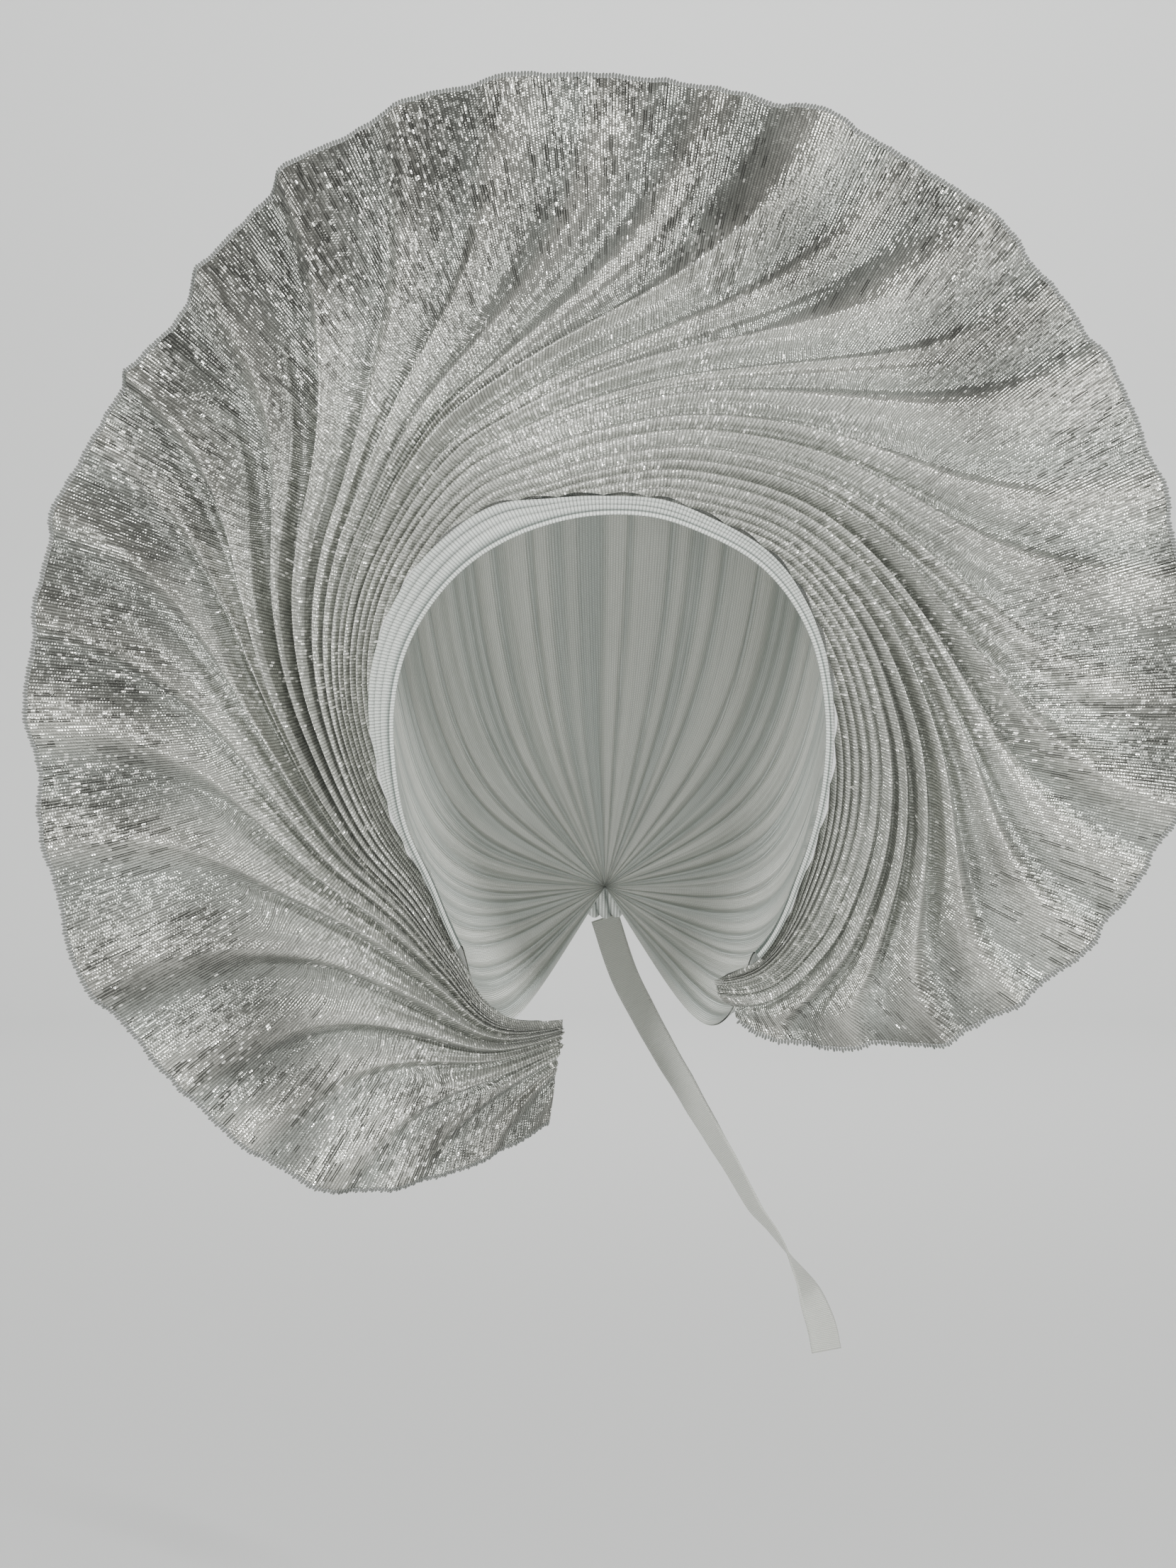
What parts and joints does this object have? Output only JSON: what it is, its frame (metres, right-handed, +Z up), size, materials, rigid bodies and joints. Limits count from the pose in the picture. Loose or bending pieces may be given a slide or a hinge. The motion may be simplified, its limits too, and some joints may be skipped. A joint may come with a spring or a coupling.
{
  "type": "tied gele head tie",
  "caption": "Pre-tied gele: a broad pleated halo fan of ribbed silver cloth spiralling round the face, with a folded headband, crown cloth, nape knot and hanging tie.",
  "frame": {"origin": "middle of the head hollow, behind the forehead edge, where the head tie sits on a head", "axes": "+Z up, -Y the way the face opening looks, +X towards the wearer's left"},
  "size_m": [0.4295, 0.1959, 0.4866],
  "materials": {
    "silver_lame": "ribbed weave with bright metal film wefts",
    "pale_lame": "finely ribbed pale aqua white weave",
    "tie_cloth": "plain tightly woven tape"
  },
  "bodies": {
    "root": {"fan": "silver_lame", "headband": "pale_lame", "crown_wrap": "silver_lame", "nape_knot": "pale_lame", "tie_tail": "tie_cloth"}
  },
  "joints": []
}
